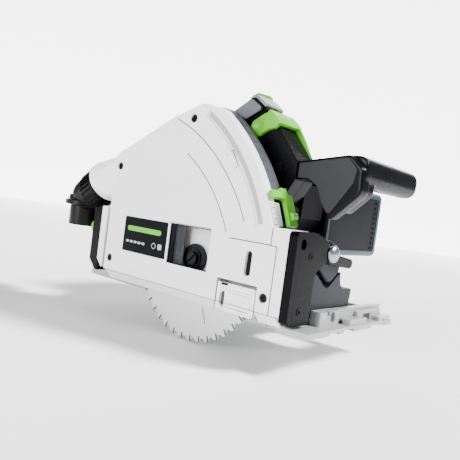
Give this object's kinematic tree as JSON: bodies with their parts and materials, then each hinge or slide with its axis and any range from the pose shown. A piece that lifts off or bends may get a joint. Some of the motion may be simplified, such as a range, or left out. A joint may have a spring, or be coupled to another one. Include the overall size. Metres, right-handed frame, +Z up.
{
  "type": "track plunge saw",
  "caption": "Cordless plunge-cut circular saw with blade guard, tilting base with groove for a guide rail, depth stop, twin handles and slide-on battery packs.",
  "frame": {"origin": "on the sole's plane, in the blade's mid-plane, under the blade's centre at rest", "axes": "+X the cutting direction, +Y the motor side, +Z up from the sole"},
  "size_m": [0.3635, 0.2384, 0.2515],
  "materials": {
    "cover_white": "satin near-white moulded plastic",
    "housing_grey": "textured charcoal plastic",
    "dark_satin": "satin near-black navy plastic",
    "dark_cast": "satin black painted casting",
    "accent_green": "satin apple green plastic",
    "sole_cast": "light warm grey bead-blasted casting",
    "quadrant_grey": "dark grey painted steel",
    "blade_steel": "ground saw steel",
    "steel": "machined steel",
    "black_oxide": "black oxide steel",
    "satin_silver": "satin chrome",
    "label": "dark blue-grey printed plate",
    "dust_black": "black ribbed plastic",
    "battery_grey": "blue-grey battery case",
    "cap_grey": "silver-grey plastic",
    "copper": "wound copper and laminated steel",
    "board": "green circuit board",
    "rubber_black": "black rubber",
    "spring_steel": "spring steel"
  },
  "bodies": {
    "base": {"base_plate": "sole_cast", "edge_strip": "rubber_black", "front_quadrant": "quadrant_grey", "rear_quadrant": "quadrant_grey", "quadrant_screws": "steel"},
    "front_jaw": {"front_guide_jaw": "accent_green"},
    "rear_jaw": {"rear_guide_jaw": "accent_green"},
    "carriage": {"guard_cover": "cover_white", "guard_housing": "housing_grey", "label_plate": "label", "cover_screws": "black_oxide", "front_bracket": "dark_cast", "rear_bracket": "dark_cast", "rear_strip": "cover_white", "bracket_screws": "steel", "depth_scale": "satin_silver", "pivot_pin": "steel", "plunge_spring": "spring_steel", "dust_port": "cover_white", "clamp_bolts": "steel"},
    "splinter_slide": {"splinter_guard": "cover_white"},
    "release_button": {"rear_release_button": "accent_green"},
    "depth_slider": {"depth_stop": "accent_green"},
    "front_clamp": {"front_clamp_knob": "dark_satin", "front_knob_cap": "satin_silver"},
    "rear_clamp": {"rear_clamp_knob": "dark_satin"},
    "dust_swivel": {"dust_elbow": "dust_black"},
    "saw_unit": {"gear_housing": "dark_cast", "gear_cover": "sole_cast", "motor_housing": "dark_satin", "stator": "copper", "bearings": "steel", "circuit_board": "board", "electronics_case": "dark_satin", "handle_right": "dark_satin", "handle_left": "dark_satin", "handle_cap": "cap_grey", "aux_handle": "dark_satin", "housing_screws": "black_oxide", "front_battery_mount": "dark_satin", "rear_battery_mount": "dark_satin"},
    "arbor": {"saw_blade": "blade_steel", "inner_flange": "steel", "outer_flange": "black_oxide", "clamp_screw": "black_oxide", "arbor_shaft": "steel", "drive_gear": "steel"},
    "idler": {"idler_gear": "steel"},
    "rotor": {"motor_pinion": "steel", "rotor_shaft": "steel", "rotor_core": "copper", "cooling_fan": "dust_black"},
    "trigger_key": {"trigger": "accent_green"},
    "lock_key": {"lock_lever": "accent_green"},
    "change_key": {"change_lever": "accent_green"},
    "dial": {"speed_dial": "accent_green"},
    "front_pack": {"front_battery": "battery_grey"},
    "rear_pack": {"rear_battery": "battery_grey"},
    "front_pack_button": {"front_battery_button": "accent_green"},
    "rear_pack_button": {"rear_battery_button": "accent_green"}
  },
  "joints": [
    {"name": "bevel", "type": "hinge", "parent": "base", "child": "carriage", "pos_m": [0, 0, 0], "axis": [1, 0, 0], "range_deg": [-1, 47]},
    {"name": "plunge", "type": "hinge", "parent": "carriage", "child": "saw_unit", "pos_m": [-0.098, 0, 0.022], "axis": [0, 1, 0], "range_deg": [-25.5, 11.5]},
    {"name": "front_jaw_turn", "type": "hinge", "parent": "base", "child": "front_jaw", "pos_m": [0.06, 0.052, 0], "axis": [0, 0, 1], "range_deg": [-90, 90]},
    {"name": "rear_jaw_turn", "type": "hinge", "parent": "base", "child": "rear_jaw", "pos_m": [-0.158, 0.052, 0], "axis": [0, 0, 1], "range_deg": [-90, 90]},
    {"name": "splinter_height", "type": "slide", "parent": "carriage", "child": "splinter_slide", "axis": [0, 0, 1], "range_m": [-0.003, 0.002]},
    {"name": "release_press", "type": "slide", "parent": "carriage", "child": "release_button", "axis": [1, 0, 0], "range_m": [0, 0.004], "stiffness_N_per_m": 400},
    {"name": "depth_setting", "type": "hinge", "parent": "carriage", "child": "depth_slider", "pos_m": [-0.098, 0, 0.022], "axis": [0, -1, 0], "range_deg": [0, 24]},
    {"name": "front_clamp_turn", "type": "hinge", "parent": "carriage", "child": "front_clamp", "pos_m": [0.115, 0.044, 0.0685], "axis": [1, 0, 0], "range_deg": [-35, 15]},
    {"name": "rear_clamp_turn", "type": "hinge", "parent": "carriage", "child": "rear_clamp", "pos_m": [-0.14, 0.05, 0.04], "axis": [1, 0, 0], "range_deg": [-15, 35]},
    {"name": "dust_turn", "type": "hinge", "parent": "carriage", "child": "dust_swivel", "pos_m": [-0.155, 0, 0.107], "axis": [-0.8526, 0, -0.5225], "range_deg": [-120, 120]},
    {"name": "blade_spin", "type": "hinge", "parent": "saw_unit", "child": "arbor", "pos_m": [0, 0, 0.045], "axis": [0, 1, 0], "continuous": true},
    {"name": "idler_spin", "type": "hinge", "parent": "saw_unit", "child": "idler", "pos_m": [-0.01294, 0, 0.07574], "axis": [0, 1, 0], "continuous": true},
    {"name": "rotor_spin", "type": "hinge", "parent": "saw_unit", "child": "rotor", "pos_m": [-0.036, 0, 0.08], "axis": [0, 1, 0], "continuous": true},
    {"name": "trigger_pull", "type": "slide", "parent": "saw_unit", "child": "trigger_key", "axis": [-0.46, 0, 0.8879], "range_m": [0, 0.004], "stiffness_N_per_m": 500},
    {"name": "lock_press", "type": "slide", "parent": "saw_unit", "child": "lock_key", "axis": [-0.7071, 0, 0.7071], "range_m": [0, 0.005], "stiffness_N_per_m": 400},
    {"name": "change_swing", "type": "hinge", "parent": "saw_unit", "child": "change_key", "pos_m": [0.008, 0.055, 0.198], "axis": [0, 1, 0], "range_deg": [-18, 18]},
    {"name": "dial_turn", "type": "hinge", "parent": "saw_unit", "child": "dial", "pos_m": [-0.036, 0.15, 0.056], "axis": [0, 1, 0], "range_deg": [-150, 150]},
    {"name": "front_pack_slide", "type": "slide", "parent": "saw_unit", "child": "front_pack", "axis": [0, 1, 0], "range_m": [0, 0.1]},
    {"name": "rear_pack_slide", "type": "slide", "parent": "saw_unit", "child": "rear_pack", "axis": [0, 1, 0], "range_m": [0, 0.1]},
    {"name": "front_pack_press", "type": "slide", "parent": "front_pack", "child": "front_pack_button", "axis": [0, -1, 0], "range_m": [0, 0.002], "stiffness_N_per_m": 500},
    {"name": "rear_pack_press", "type": "slide", "parent": "rear_pack", "child": "rear_pack_button", "axis": [0, -1, 0], "range_m": [0, 0.002], "stiffness_N_per_m": 500}
  ],
  "couplings": [
    {"joint": "idler_spin", "follows": "blade_spin", "ratio": -1},
    {"joint": "rotor_spin", "follows": "blade_spin", "ratio": 2.5}
  ]
}
